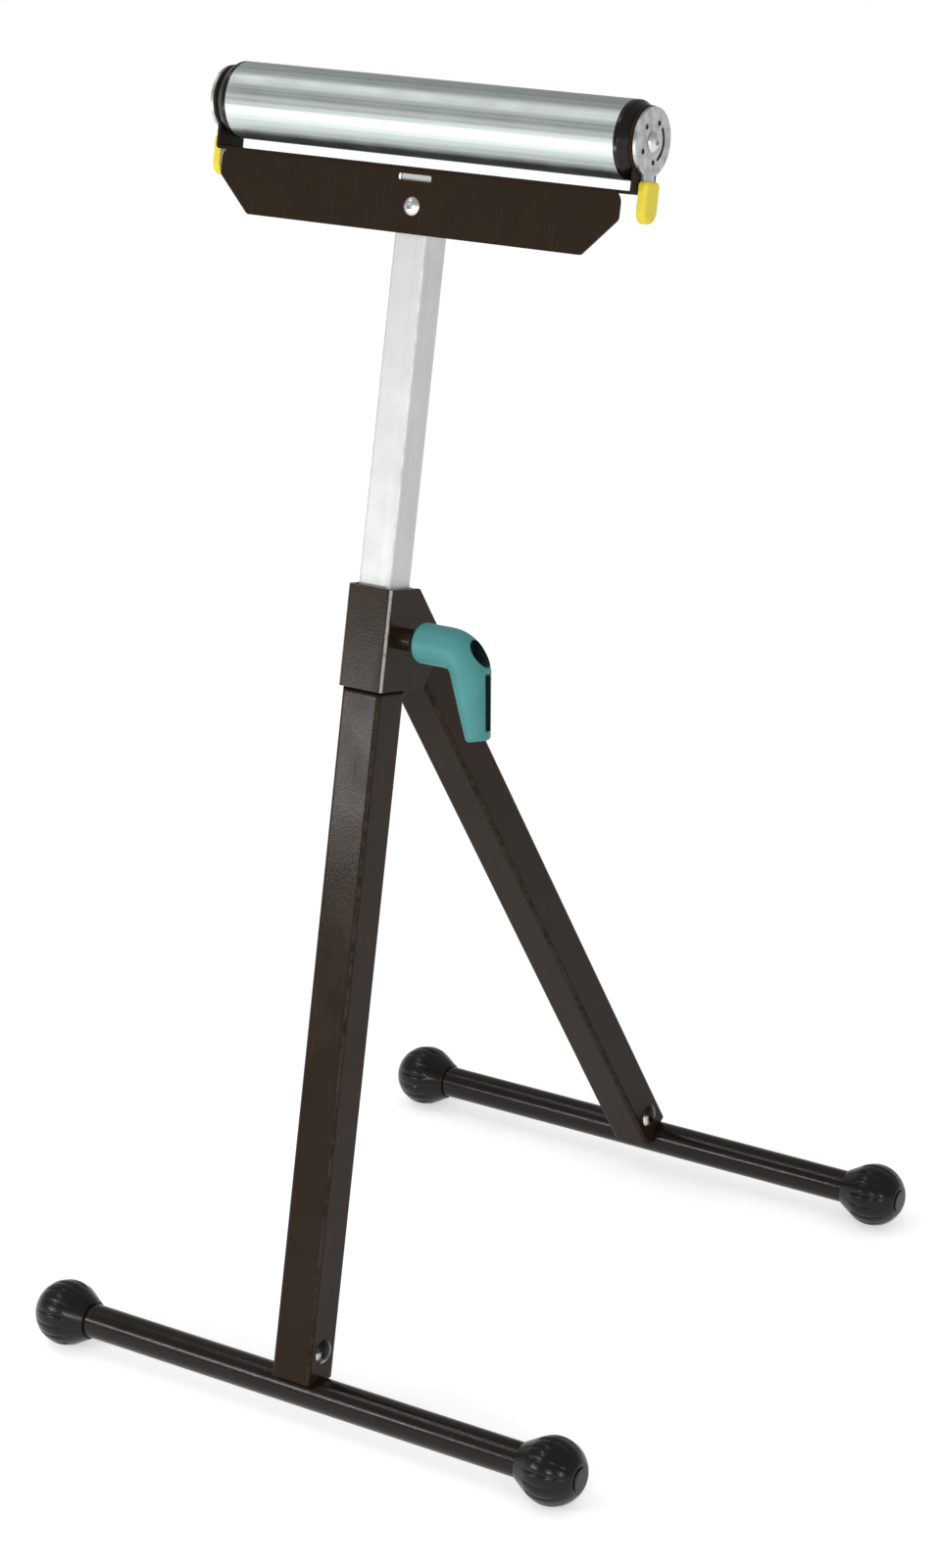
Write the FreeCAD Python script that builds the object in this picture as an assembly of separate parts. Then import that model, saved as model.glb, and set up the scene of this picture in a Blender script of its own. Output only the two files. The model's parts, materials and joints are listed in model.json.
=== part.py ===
import FreeCAD, Part
import math
import os

# Folding roller stand: a leaning front leg with a sliding mast and a roller head, a hinged rear
# leg, and two foot bars on ball feet. Millimetres and degrees. X runs along the roller, Y from the
# front bar to the rear bar, Z up from the floor.

V = FreeCAD.Vector

# Stance, tubes and feet
stance = 455.0              # between the foot bars, along the floor
foot_span = 400.0           # between the ball centres of one bar
front_lean = 12.8           # lean of the front leg and mast from upright
leg_size = 30.0             # outside of both square legs
leg_wall = 1.5
leg_corner = 3.0
bar_diameter = 24.0
bar_wall = 1.5
bar_grip = 8.0              # length of bar past the ball's centre
saddle_depth = 3.0          # how far the legs reach down over their bars
stub_top = 50.0             # upper end of the welded stub, along the leg
stub_wall = 2.0
ball_diameter = 46.0
ball_flat = 7.0             # diameter of the flat that a ball stands on
skirt_end = 22.5            # ball's centre to the end of its skirt, along the bar
skirt_wall = 1.5
pole_cut = 2.6              # taken off the ball's outer pole
button_radius = 8.5
button_rise = 1.2

# Heights along the front leg, from its foot bar
collar_bottom = 480.0
collar_length = 67.0
collar_lip = 2.0            # collar above the leg's end
pivot_rise = 29.0           # pivot above the collar's lower edge
clamp_rise = 35.0           # clamp above the collar's lower edge
foot_bolt_height = 30.0

# Collar, a folded sheet that also sets the thickness of the head and the guide discs
sheet = 2.0
bend_inside = 0.8
fold_gap = 2.0              # between the legs when folded
nose_margin = 1.0           # collar's nose past the rear leg's wall
nose_slope = 30.0           # lower rear edge of the cheeks, from the leg's line
cheek_corner = 4.0

# Mast
guide_room = 1.0            # between leg and mast, on each side
mast_wall = 1.5
mast_corner = 2.5
mast_length = 477.2
mast_exposed = 268.0        # leg's end to the head's web, as the stand is shown
sleeve_length = 80.0
sleeve_rim = 1.2
glide_flange = 4.0
glide_plug = 20.0
glide_wall = 2.5

# Head bracket
apron_drop = 40.0
apron_inset = 5.0           # apron's end inside the ear
apron_chamfer = 24.0
apron_corner = 8.0
apron_slot_length = 26.0
apron_slot_height = 4.0
apron_slot_corner = 1.3
apron_slot_drop = 4.5       # slot's centre below the web
head_screw_drop = 22.5
ear_radius = 22.0
axle_offset = 1.5           # axle behind the mast's centre

# Roller and its ends
roller_diameter = 50.0
roller_wall = 1.5
roller_length = 293.0
roller_gap = 6.0            # roller above the web
cap_length = 9.0
cap_rim = 3.0               # straight part of the cap's edge
cap_taper = 3.5
cap_plug = 14.0
axle_diameter = 10.0
bearing_diameter = 26.0
bearing_width = 8.0
shield_depth = 0.5
shield_inset = 2.0          # shield's edge inside the bearing's rings
spacer_wall = 2.0
end_play = 0.5

# End guides
disc_radius = 21.5
disc_gap = 0.6              # disc off the ear
detent_count = 4
detent_step = 72.0          # between detents
detent_radius = 1.75
detent_circle = 12.8
detent_turn = 66.0          # first detent from the rear, toward the top
slot_width = 2.6            # curved slot in the last detent's place
slot_half_turn = 46.0       # slot to each side of its middle
tab_width = 13.0
grip_width = 16.5
grip_start = 24.0           # grip below the axle
grip_length = 26.0
grip_depth = 6.4
grip_overlap = 18.0         # tab inside the grip
grip_edge = 3.5             # upper corners
grip_round = 8.0            # lower corners
grip_rim = 2.6              # rounding of the outer face

# Clamp
stud_radius = 4.0
stud_tip_radius = 2.5
stud_tip = 1.2              # tip inside the pad when the mast is held
stud_hold = 20.0            # stud inside the lever
stud_show = 3.5             # bare stud between boss and lever
thread_pitch = 1.25
lever_turn = 270.0          # turn that frees the mast
boss_radius = 7.25
boss_length = 11.3
boss_edge = 1.0
pad_radius = 4.75
pad_edge = 0.5
hub_radius = 13.3
hub_length = 23.0           # straight part, from the nose to the elbow
hub_nose = 4.0              # rounding toward the boss
elbow_radius = 18.3         # bend of the lever's middle line
elbow_turn = 75.3
arm_length = 43.8
arm_tip_radius = 8.0
arm_tip_edge = 3.0
dimple_radius = 8.0
dimple_depth = 18.0         # from the elbow's outermost line
groove_width = 6.0
groove_corner = 2.85
groove_length = 36.0
groove_depth = 2.5
groove_run = 20.0           # groove's centre below the elbow's end

# Fasteners
foot_screw_radius = 3.0     # six millimetre thread
foot_head_radius = 8.5
foot_head_height = 4.0
head_screw_head = 6.0
axle_screw_head = 6.5
low_head_height = 3.0
small_nut_flats = 10.0
small_nut_height = 5.0
pivot_radius = 4.0          # eight millimetre thread
pivot_flats = 13.0
pivot_head_height = 5.3
pivot_nut_height = 8.0
bush_wall = 2.0
axle_screw_length = 11.0
socket_flats = 4.0
socket_depth = 1.8
hexagon_ease = 1.3          # taken off the points of nuts and bolt heads
thread_end = 1.5            # bolt past its nut

# Clearances
fit_gap = 0.05              # shafts in their bores, fixed pieces in their seats
weld_gap = 0.1
bolt_gap = 0.2
slide_gap = 0.3             # between pieces that move past each other
same_place = 1e-6           # points nearer than this are one point

# Sizes that follow from the ones above
leg_half = leg_size / 2
leg_inside = leg_size - 2 * leg_wall
mast_size = leg_inside - 2 * guide_room
mast_half = mast_size / 2
mast_inside = mast_size - 2 * mast_wall
bar_radius = bar_diameter / 2
ball_radius = ball_diameter / 2
bar_height = math.sqrt(ball_radius ** 2 - (ball_flat / 2) ** 2)
leg_bottom = bar_radius - saddle_depth
collar_top = collar_bottom + collar_length
collar_inside = leg_half + bolt_gap
collar_outside = collar_inside + sheet
bend_outside = bend_inside + sheet
leg_top = collar_top - collar_lip
pivot_height = collar_bottom + pivot_rise
pivot_offset = leg_size + fold_gap
nose_radius = leg_half + nose_margin
clamp_height = collar_bottom + clamp_rise
web_bottom = leg_top + mast_exposed
web_top = web_bottom + sheet
mast_top = web_bottom - bend_inside
mast_bottom = mast_top - mast_length
sleeve_bottom = leg_top - sleeve_length
apron_front = -(mast_half + sheet)
apron_bottom = web_bottom - apron_drop
roller_radius = roller_diameter / 2
roller_half = roller_length / 2
axle_radius = axle_diameter / 2
axle_height = web_top + roller_gap + roller_radius
cap_end = roller_half + cap_length
bearing_outer_face = roller_half + sheet / 2
ear_inside = cap_end + end_play
ear_outside = ear_inside + sheet
apron_half = ear_inside - apron_inset
disc_inside = ear_outside + disc_gap
disc_outside = disc_inside + sheet
axle_half = disc_outside + slide_gap
bush_radius = pivot_radius + fit_gap + bush_wall
pad_travel = thread_pitch * lever_turn / 360
stud_shoulder = collar_outside
pad_back = stud_shoulder - pad_travel - slide_gap
pad_hole = pad_radius + slide_gap
hub_start = collar_outside + boss_length + stud_show
elbow = hub_start + hub_length
arm_taper = (hub_radius - arm_tip_radius) / arm_length

# The front leg's own frame stands on its bar and leans back; the rear leg's leans forward
across = V(1, 0, 0)
front_place = FreeCAD.Placement(V(0, -stance / 2, bar_height), FreeCAD.Rotation(across, -front_lean))
pivot_point = front_place.multVec(V(0, pivot_offset, pivot_height))
rear_run = stance / 2 - pivot_point.y
rear_rise = pivot_point.z - bar_height
rear_length = math.hypot(rear_run, rear_rise)
rear_lean = math.degrees(math.atan2(rear_run, rear_rise))
fold_angle = math.radians(front_lean + rear_lean)
rear_place = FreeCAD.Placement(V(0, stance / 2, bar_height), FreeCAD.Rotation(across, rear_lean))


def placed(shape, place):
    """Copy of a shape carried from a leg's frame to the floor's."""
    return shape.transformed(place.toMatrix(), True)


def block(x, y, z):
    """Box between a low and a high limit on each axis."""
    return Part.makeBox(x[1] - x[0], y[1] - y[0], z[1] - z[0], V(x[0], y[0], z[0]))


def rod(radius, start, end):
    """Round rod between two points."""
    run = end.sub(start)
    return Part.makeCylinder(radius, run.Length, start, run)


def cross_rod(radius, low, high, y=0.0, z=0.0):
    """Round rod along X."""
    return rod(radius, V(low, y, z), V(high, y, z))


def ring(outer, inner, low, high):
    """Tube along X."""
    return cross_rod(outer, low, high).cut(cross_rod(inner, low, high))


def rounded_face(corners, place):
    """Face through corners (a, b, radius), each rounded; place(a, b) sets a point in space."""
    spans = []
    for index, (a, b, radius) in enumerate(corners):
        here = V(a, b, 0)
        before = V(*corners[index - 1][:2], 0).sub(here).normalize()
        after = V(*corners[(index + 1) % len(corners)][:2], 0).sub(here).normalize()
        half = before.getAngle(after) / 2
        reach = radius / math.tan(half)
        inward = before.add(after)
        middle = here
        if radius > 0:
            middle = here.add(inward.normalize().multiply(radius / math.sin(half) - radius))
        spans.append([here.add(before.multiply(reach)), middle, here.add(after.multiply(reach))])
    edges = []
    for index, (start, middle, end) in enumerate(spans):
        start, middle, end = [place(p.x, p.y) for p in (start, middle, end)]
        last = place(spans[index - 1][2].x, spans[index - 1][2].y)
        if last.distanceToPoint(start) > same_place:
            edges.append(Part.makeLine(last, start))
        if start.distanceToPoint(end) > same_place:
            edges.append(Part.Arc(start, middle, end).toShape())
    return Part.Face(Part.Wire(edges))


def plate(corners, axis, low, high):
    """Prism of a rounded outline, drawn across one axis and run along it from low to high."""
    places = {
        "x": lambda a, b: V(low, a, b),
        "y": lambda a, b: V(a, low, b),
        "z": lambda a, b: V(a, b, low),
    }
    runs = {"x": V(high - low, 0, 0), "y": V(0, high - low, 0), "z": V(0, 0, high - low)}
    return rounded_face(corners, places[axis]).extrude(runs[axis])


def turned(corners):
    """Solid turned about X from an outline of corners (x, radius, rounding)."""
    return rounded_face(corners, lambda a, b: V(a, 0, b)).revolve(V(0, 0, 0), across, 360)


def rectangle(low, high, radius=0.0):
    """Corners of an upright rectangle from its low and high points."""
    return [(a, b, radius) for a, b in (low, (high[0], low[1]), high, (low[0], high[1]))]


def square_bar(size, corner, low, high):
    """Square bar along Z with rounded edges."""
    return plate(rectangle((-size / 2, -size / 2), (size / 2, size / 2), corner), "z", low, high)


def square_tube(size, wall, corner, low, high):
    """Square tube along Z."""
    return square_bar(size, corner, low, high).cut(square_bar(size - 2 * wall, corner - wall, low, high))


def mirrored(shape):
    """Copy of a shape on the other side."""
    return shape.mirror(V(0, 0, 0), across)


def both_sides(shape):
    """A right-hand piece together with its left-hand copy."""
    return Part.makeCompound([shape, mirrored(shape)])


# Fasteners lie along X, with the head's seat at zero and the shank toward minus X

def dome_screw(head_radius, head_height, shank_radius, length):
    """Screw with a domed head."""
    dome = (head_radius ** 2 + head_height ** 2) / (2 * head_height)
    head = Part.makeSphere(dome, V(head_height - dome, 0, 0))
    head = head.common(block((0, head_height), (-head_radius, head_radius), (-head_radius, head_radius)))
    return head.fuse(cross_rod(shank_radius, -length, head_height / 2)).removeSplitter()


def hexagon(flats, low, high, bevel=0.0):
    """Hexagonal prism along X, with its points eased."""
    points = flats / math.sqrt(3)
    turns = [k * math.pi / 3 for k in range(6)]
    corners = [(points * math.cos(turn), points * math.sin(turn), 0) for turn in turns]
    prism = plate(corners, "x", low, high)
    if bevel == 0:
        return prism
    return prism.common(turned([(low, 0, 0), (low, points, bevel), (high, points, bevel), (high, 0, 0)]))


def nut(flats, height, shank_radius):
    """Hexagonal nut whose seat is at zero, lying toward minus X."""
    body = hexagon(flats, -height, 0, hexagon_ease)
    return body.cut(cross_rod(shank_radius + fit_gap, -height, 0))


# Feet

def foot_bar():
    """Round tube that joins two ball feet."""
    half = foot_span / 2 + bar_grip
    return ring(bar_radius, bar_radius - bar_wall, -half, half)


def ball_foot():
    """Right-hand ball: a sphere with a straight skirt toward the bar and a button outside."""
    lip = V(-skirt_end, 0, bar_radius + skirt_wall)
    tangent_turn = math.atan2(lip.z, -lip.x) + math.acos(ball_radius / lip.Length)
    tangent = V(-ball_radius * math.cos(tangent_turn), 0, ball_radius * math.sin(tangent_turn))
    pole = ball_radius - pole_cut
    pole_edge = V(pole, 0, math.sqrt(ball_radius ** 2 - pole ** 2))
    crown = V(0, 0, ball_radius)
    points = [V(pole, 0, 0), V(lip.x, 0, 0), lip, tangent]
    edges = [Part.makeLine(a, b) for a, b in zip(points, points[1:])]
    edges.append(Part.Arc(tangent, crown, pole_edge).toShape())
    edges.append(Part.makeLine(pole_edge, points[0]))
    ball = Part.Face(Part.Wire(edges)).revolve(V(0, 0, 0), across, 360)
    button_end = pole + button_rise
    button = turned([
        (0, 0, 0), (0, button_radius, 0), (button_end, button_radius, button_rise / 2), (button_end, 0, 0),
    ])
    ball = ball.fuse(button).removeSplitter()
    ball = ball.cut(cross_rod(bar_radius + fit_gap, lip.x, bar_grip + fit_gap))
    ball = ball.translated(V(foot_span / 2, 0, bar_height))
    reach = 2 * ball_diameter
    floor = block((0, foot_span), (-reach, reach), (-reach, 0))
    return ball.cut(floor)


def foot_stub():
    """Square stub that stands on a bar inside the leg."""
    corner = leg_corner - leg_wall + stub_wall
    stub = square_tube(leg_inside - 2 * bolt_gap, stub_wall, corner, leg_bottom, stub_top)
    return with_foot_cuts(stub)


def with_foot_cuts(tube):
    """Saddle over the bar and the cross hole for the foot bolt."""
    tube = tube.cut(cross_rod(bar_radius + weld_gap, -leg_size, leg_size))
    return tube.cut(cross_rod(foot_screw_radius + bolt_gap, -leg_size, leg_size, 0, foot_bolt_height))


def foot_bolt():
    """Mushroom-head bolt through leg and stub."""
    length = leg_size + small_nut_height + thread_end
    bolt = dome_screw(foot_head_radius, foot_head_height, foot_screw_radius, length)
    return bolt.translated(V(leg_half, 0, foot_bolt_height))


def foot_nut():
    """Nut on the far side of the leg."""
    body = nut(small_nut_flats, small_nut_height, foot_screw_radius)
    return body.translated(V(-leg_half, 0, foot_bolt_height))


# Legs and collar

def front_leg_tube():
    """Front leg with the window for the clamp's pad."""
    tube = with_foot_cuts(square_tube(leg_size, leg_wall, leg_corner, leg_bottom, leg_top))
    return tube.cut(cross_rod(pad_hole, 0, leg_size, 0, clamp_height))


def rear_leg_tube():
    """Rear leg whose mitred end stands on the front leg's back when open."""
    tube = square_tube(leg_size, leg_wall, leg_corner, leg_bottom, rear_length + 2 * leg_size)
    tube = with_foot_cuts(tube)
    tube = tube.cut(cross_rod(bush_radius + fit_gap, -leg_size, leg_size, 0, rear_length))
    stop = leg_half + slide_gap
    wide = (-leg_size, leg_size)
    ahead = block(wide, (-stance, stop), (0, web_top))
    swing = pivot_offset - leg_half - slide_gap
    heel_low = pivot_height - leg_half * math.sin(fold_angle)
    heel = block(wide, (leg_half, pivot_offset), (heel_low, pivot_height))
    heel = heel.cut(cross_rod(swing, -leg_size, leg_size, pivot_offset, pivot_height))
    return placed(tube, rear_place).cut(placed(ahead, front_place)).cut(placed(heel, front_place))


def pivot_spacer():
    """Bush through the rear leg on which it swings."""
    half = leg_half + bolt_gap / 2
    return ring(bush_radius, pivot_radius + fit_gap, -half, half).translated(V(0, 0, rear_length))


def pivot_collar():
    """Folded collar: a web in front of the leg and two cheeks that reach back to the pivot."""
    front = -(leg_half + sheet)
    rear = pivot_offset + 2 * nose_radius
    channel = [
        (-collar_outside, rear, 0), (-collar_outside, front, bend_outside),
        (collar_outside, front, bend_outside), (collar_outside, rear, 0),
        (collar_inside, rear, 0), (collar_inside, -leg_half, bend_inside),
        (-collar_inside, -leg_half, bend_inside), (-collar_inside, rear, 0),
    ]
    slope = math.radians(nose_slope)
    half_nose = (fold_angle + slope) / 2
    nose_turn = (fold_angle - slope) / 2
    nose_reach = nose_radius / math.cos(half_nose)
    nose_y = pivot_offset + nose_reach * math.cos(nose_turn)
    nose_z = pivot_height + nose_reach * math.sin(nose_turn)
    heel = nose_y - (nose_z - collar_bottom) * math.tan(slope)
    shoulder = nose_y - (collar_top - nose_z) * math.tan(fold_angle)
    cheek = [
        (front, collar_bottom, 0), (heel, collar_bottom, cheek_corner), (nose_y, nose_z, nose_radius),
        (shoulder, collar_top, cheek_corner), (front, collar_top, 0),
    ]
    collar = plate(channel, "z", collar_bottom, collar_top)
    collar = collar.common(plate(cheek, "x", -leg_size, leg_size))
    collar = collar.cut(cross_rod(pivot_radius + weld_gap, -leg_size, leg_size, pivot_offset, pivot_height))
    return collar.cut(cross_rod(pad_hole, 0, leg_size, 0, clamp_height))


def pivot_bolt():
    """Hexagon bolt through both cheeks."""
    head = hexagon(pivot_flats, 0, pivot_head_height, hexagon_ease)
    length = 2 * collar_outside + pivot_nut_height + thread_end
    bolt = head.fuse(cross_rod(pivot_radius, -length, pivot_head_height / 2)).removeSplitter()
    return bolt.translated(V(collar_outside, pivot_offset, pivot_height))


def pivot_nut():
    """Lock nut of the pivot bolt."""
    body = nut(pivot_flats, pivot_nut_height, pivot_radius)
    return body.translated(V(-collar_outside, pivot_offset, pivot_height))


# Mast and its guides

def mast_guide_sleeve():
    """Liner between leg and mast, with a rim on the leg's end."""
    bore_size = mast_size + 2 * slide_gap
    bore_corner = mast_corner + bolt_gap
    sleeve_top = leg_top + sleeve_rim
    sleeve = square_bar(leg_inside - 2 * weld_gap, leg_corner - leg_wall, sleeve_bottom, sleeve_top)
    rim = square_bar(leg_size - leg_wall, leg_corner, leg_top, sleeve_top)
    sleeve = sleeve.fuse(rim).removeSplitter()
    sleeve = sleeve.cut(square_bar(bore_size, bore_corner, sleeve_bottom, sleeve_top))
    return sleeve.cut(cross_rod(pad_hole, 0, leg_size, 0, clamp_height))


def mast_tube():
    """Sliding mast with the cross hole for the head screw."""
    tube = square_tube(mast_size, mast_wall, mast_corner, mast_bottom, mast_top)
    height = web_bottom - head_screw_drop
    return tube.cut(rod(foot_screw_radius + bolt_gap, V(0, -mast_size, height), V(0, mast_size, height)))


def mast_bottom_glide():
    """Plug in the mast's lower end, whose flange meets the sleeve when the mast is fully out."""
    plug_size = mast_inside - 2 * weld_gap
    corner = mast_corner - mast_wall
    flange_size = leg_inside - 2 * slide_gap
    plug = square_bar(plug_size, corner, mast_bottom - glide_flange, mast_bottom + glide_plug)
    flange = square_bar(flange_size, leg_corner - leg_wall, mast_bottom - glide_flange, mast_bottom)
    hollow = square_bar(plug_size - 2 * glide_wall, corner, mast_bottom, mast_bottom + glide_plug)
    return plug.fuse(flange).removeSplitter().cut(hollow)


# Head

def ear():
    """Right-hand ear, bent up from the web to a round head about the axle."""
    start = apron_half - apron_chamfer
    top = axle_height + ear_radius
    bend = [
        (start, web_bottom, 0), (ear_outside, web_bottom, bend_outside), (ear_outside, top, 0),
        (ear_inside, top, 0), (ear_inside, web_top, bend_inside), (start, web_top, 0),
    ]
    neck = plate(rectangle((-mast_half, web_bottom), (-apron_front, axle_height)), "x", start, ear_outside)
    head = cross_rod(ear_radius, ear_inside, ear_outside, axle_offset, axle_height)
    return plate(bend, "y", -ear_inside, ear_inside).common(neck.fuse(head))


def head_bracket():
    """One folded sheet: a web on the mast's end, an apron in front of it and two ears."""
    fold = [
        (apron_front, apron_bottom, 0), (-mast_half, apron_bottom, 0),
        (-mast_half, web_bottom, bend_inside), (-apron_front, web_bottom, 0),
        (-apron_front, web_top, 0), (apron_front, web_top, bend_outside),
    ]
    chamfer_side = apron_bottom + apron_chamfer
    chamfer_end = apron_half - apron_chamfer
    outline = [
        (-chamfer_end, apron_bottom, cheek_corner), (chamfer_end, apron_bottom, cheek_corner),
        (apron_half, chamfer_side, cheek_corner), (apron_half, web_top, apron_corner),
        (-apron_half, web_top, apron_corner), (-apron_half, chamfer_side, cheek_corner),
    ]
    bracket = plate(fold, "x", -apron_half, apron_half).common(plate(outline, "y", -leg_size, leg_size))
    bracket = bracket.fuse([ear(), mirrored(ear())]).removeSplitter()
    slot_low = (-apron_slot_length / 2, web_bottom - apron_slot_drop - apron_slot_height / 2)
    slot_high = (apron_slot_length / 2, web_bottom - apron_slot_drop + apron_slot_height / 2)
    slot = plate(rectangle(slot_low, slot_high, apron_slot_corner), "y", -leg_size, -mast_half)
    bracket = bracket.cut(slot)
    screw_height = web_bottom - head_screw_drop
    screw_hole = rod(foot_screw_radius + bolt_gap, V(0, -leg_size, screw_height), V(0, 0, screw_height))
    bracket = bracket.cut(screw_hole)
    axle_hole = cross_rod(axle_radius + fit_gap, -ear_outside, ear_outside, axle_offset, axle_height)
    return bracket.cut(axle_hole)


def facing_front(shape):
    """Turns a fastener's head from plus X to the front."""
    return shape.rotated(V(0, 0, 0), V(0, 0, 1), -90)


def socket_screw(head_radius, length):
    """Low domed screw with a hexagon socket."""
    screw = dome_screw(head_radius, low_head_height, foot_screw_radius, length)
    return screw.cut(hexagon(socket_flats, low_head_height - socket_depth, low_head_height))


def head_screw():
    """Screw through apron and mast."""
    length = mast_size + sheet + small_nut_height + thread_end
    screw = facing_front(socket_screw(head_screw_head, length))
    return screw.translated(V(0, apron_front, web_bottom - head_screw_drop))


def head_nut():
    """Nut behind the mast."""
    body = facing_front(nut(small_nut_flats, small_nut_height, foot_screw_radius))
    return body.translated(V(0, mast_half, web_bottom - head_screw_drop))


# Roller, axle and bearings, drawn about X and lifted to the axle

def on_axle(shape):
    """Lifts a piece drawn about X to the axle's line."""
    return shape.translated(V(0, axle_offset, axle_height))


def roller_axle():
    """Fixed axle with a tapped hole in each end."""
    hole = cross_rod(foot_screw_radius + fit_gap, axle_half - axle_screw_length - thread_end, axle_half)
    return cross_rod(axle_radius, -axle_half, axle_half).cut(both_sides(hole))


def axle_end_screw():
    """Right-hand end screw."""
    return socket_screw(axle_screw_head, axle_screw_length).translated(V(axle_half, 0, 0))


def axle_spacer():
    """Right-hand spacer between bearing and ear."""
    inner = axle_radius + fit_gap
    return ring(inner + spacer_wall, inner, bearing_outer_face + weld_gap, ear_inside)


def roller_bearing():
    """Right-hand ball bearing, with its shields set in."""
    outer = bearing_diameter / 2
    inner = axle_radius + fit_gap
    low = bearing_outer_face - bearing_width
    body = ring(outer, inner, low, bearing_outer_face)
    for start in (low, bearing_outer_face - shield_depth):
        body = body.cut(ring(outer - shield_inset, inner + shield_inset, start, start + shield_depth))
    return body


def end_cap():
    """Right-hand cap: a plug in the roller, a seat for the bearing and a rounded nose."""
    seat = bearing_diameter / 2 + fit_gap
    plug = roller_radius - roller_wall - fit_gap
    window = axle_radius + spacer_wall + 2 * end_play
    return turned([
        (roller_half - cap_plug, seat, 0), (roller_half - cap_plug, plug, 0), (roller_half, plug, 0),
        (roller_half, roller_radius, 0), (roller_half + cap_rim, roller_radius, cap_rim / 2),
        (cap_end, roller_radius - cap_taper, cap_rim / 2), (cap_end, window, 0),
        (bearing_outer_face, window, 0), (bearing_outer_face, seat, 0),
    ])


# End guides, drawn about X for the right-hand side

def on_circle(radius, turn):
    """Point of a circle about the axle, by degrees from the rear toward the top."""
    return radius * math.cos(math.radians(turn)), radius * math.sin(math.radians(turn))


def disc_hole(radius, turn):
    """Rod through the disc on the detents' circle."""
    return cross_rod(radius, disc_inside, disc_outside, *on_circle(detent_circle, turn))


def disc_slot():
    """Part of a ring on the detents' circle, with round ends."""
    middle = detent_turn - detent_step
    turns = (middle - slot_half_turn, middle + slot_half_turn)
    wedge = [(0, 0, 0)] + [(*on_circle(2 * disc_radius, turn), 0) for turn in turns]
    band = ring(detent_circle + slot_width / 2, detent_circle - slot_width / 2, disc_inside, disc_outside)
    slot = band.common(plate(wedge, "x", disc_inside, disc_outside))
    return slot.fuse([disc_hole(slot_width / 2, turn) for turn in turns])


def guide_disc():
    """Detent disc with a curved slot, and a tab that carries the grip."""
    tab_end = grip_start + grip_overlap
    tab = plate(rectangle((-tab_width / 2, -tab_end), (tab_width / 2, 0)), "x", disc_inside, disc_outside)
    disc = cross_rod(disc_radius, disc_inside, disc_outside).fuse(tab).removeSplitter()
    disc = disc.cut(cross_rod(axle_radius + fit_gap, disc_inside, disc_outside))
    for index in range(detent_count):
        disc = disc.cut(disc_hole(detent_radius, detent_turn + index * detent_step))
    return disc.cut(disc_slot())


def guide_grip():
    """Moulded grip pushed over the disc's tab."""
    half = grip_width / 2
    low = -(grip_start + grip_length)
    outer = disc_inside + grip_depth
    corners = [
        (-half, -grip_start, grip_edge), (-half, low, grip_round),
        (half, low, grip_round), (half, -grip_start, grip_edge),
    ]
    grip = plate(corners, "x", disc_inside, outer)
    rim = [edge for edge in grip.Edges if abs(edge.BoundBox.XMin - outer) < same_place]
    grip = grip.makeFillet(grip_rim, rim)
    pocket_half = tab_width / 2 + weld_gap
    pocket_low = -(grip_start + grip_overlap + weld_gap)
    pocket = rectangle((-pocket_half, pocket_low), (pocket_half, 0))
    return grip.cut(plate(pocket, "x", disc_inside, disc_outside + weld_gap))


# Clamp, drawn about X and lifted to its height

def on_clamp(shape):
    """Lifts a piece drawn about X to the clamp's line."""
    return shape.translated(V(0, 0, clamp_height))


def clamp_boss():
    """Round weld nut on the collar's right cheek."""
    end = collar_outside + boss_length
    bore = stud_radius + fit_gap
    return turned([
        (collar_outside, bore, 0), (collar_outside, boss_radius, 0),
        (end, boss_radius, boss_edge), (end, bore, 0),
    ])


def clamp_pad():
    """Thrust pad that presses on the mast and draws back over the stud's tip."""
    pad = turned([
        (mast_half, 0, 0), (mast_half, pad_radius, pad_edge),
        (pad_back, pad_radius, 0), (pad_back, 0, 0),
    ])
    bore_end = pad_back - stud_tip - pad_travel - slide_gap
    return pad.cut(cross_rod(stud_tip_radius + fit_gap, bore_end, pad_back))


def clamp_stud():
    """Threaded stud from the pad into the lever."""
    tip = cross_rod(stud_tip_radius, pad_back - stud_tip, hub_start)
    return tip.fuse(cross_rod(stud_radius, stud_shoulder, hub_start + stud_hold)).removeSplitter()


def lever_arm():
    """Arm drawn straight down: a cone with an eased tip and a long recess in its outer side."""
    arm = Part.makeCone(hub_radius, arm_tip_radius, arm_length, V(0, 0, 0), V(0, 0, -1))
    tip = [edge for edge in arm.Edges if edge.BoundBox.ZMax < -arm_length / 2]
    arm = arm.makeFillet(arm_tip_edge, tip)
    low = (-groove_width / 2, -groove_length / 2)
    high = (groove_width / 2, groove_length / 2)
    groove = plate(rectangle(low, high, groove_corner), "x", -groove_depth, groove_depth)
    groove = groove.rotated(V(0, 0, 0), V(0, 1, 0), math.degrees(math.atan(arm_taper)))
    return arm.cut(groove.translated(V(hub_radius - arm_taper * groove_run, 0, -groove_run)))


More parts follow.
